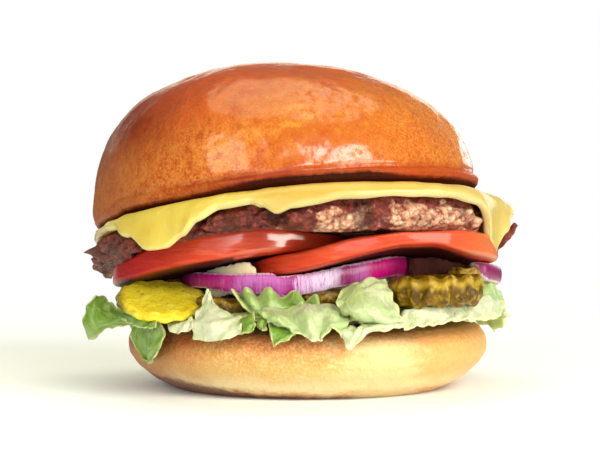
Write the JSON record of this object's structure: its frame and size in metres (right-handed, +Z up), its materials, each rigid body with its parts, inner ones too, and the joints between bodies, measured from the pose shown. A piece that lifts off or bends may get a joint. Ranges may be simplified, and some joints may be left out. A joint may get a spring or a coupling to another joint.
{
  "type": "cheeseburger",
  "caption": "Cheeseburger of glossy bun halves round lettuce, pickles, red onion, tomato, beef patty and cheese, resting on its heel.",
  "frame": {"origin": "centre of the heel's flat underside, where the burger rests", "axes": "+Z up, +Y towards the back, +X to the right of whoever faces the side shown in the picture"},
  "size_m": [0.1222, 0.1217, 0.0919],
  "materials": {
    "bun_crust": "glossy baked crust",
    "bun_heel": "satin baked crust, paler side",
    "cheese": "soft satin",
    "patty": "rough, with a moist sheen",
    "tomato": "glossy skin, wet cut faces",
    "onion_purple": "satin skin, pale cut edges",
    "onion_pale": "satin",
    "pickle_flesh": "wet, translucent",
    "pickle_dark": "wet, bumpy skin",
    "lettuce": "satin leaf, pale rim"
  },
  "bodies": {
    "root": {"bun_heel": "bun_heel", "bun_top": "bun_crust", "cheese": "cheese", "lettuce_back_left": "lettuce", "lettuce_back_right": "lettuce", "lettuce_bulge": "lettuce", "lettuce_cup": "lettuce", "lettuce_far_left": "lettuce", "lettuce_flat": "lettuce", "lettuce_pale": "lettuce", "lettuce_ruffle": "lettuce", "onion_inner": "onion_pale", "onion_left": "onion_pale", "onion_right": "onion_purple", "onion_ring": "onion_purple", "patty": "patty", "pickle_back_left": "pickle_flesh", "pickle_back_right": "pickle_flesh", "pickle_left": "pickle_flesh", "pickle_mid_left": "pickle_dark", "pickle_mid_right": "pickle_dark", "pickle_right": "pickle_dark", "tomato_lower": "tomato", "tomato_upper": "tomato"}
  },
  "joints": []
}
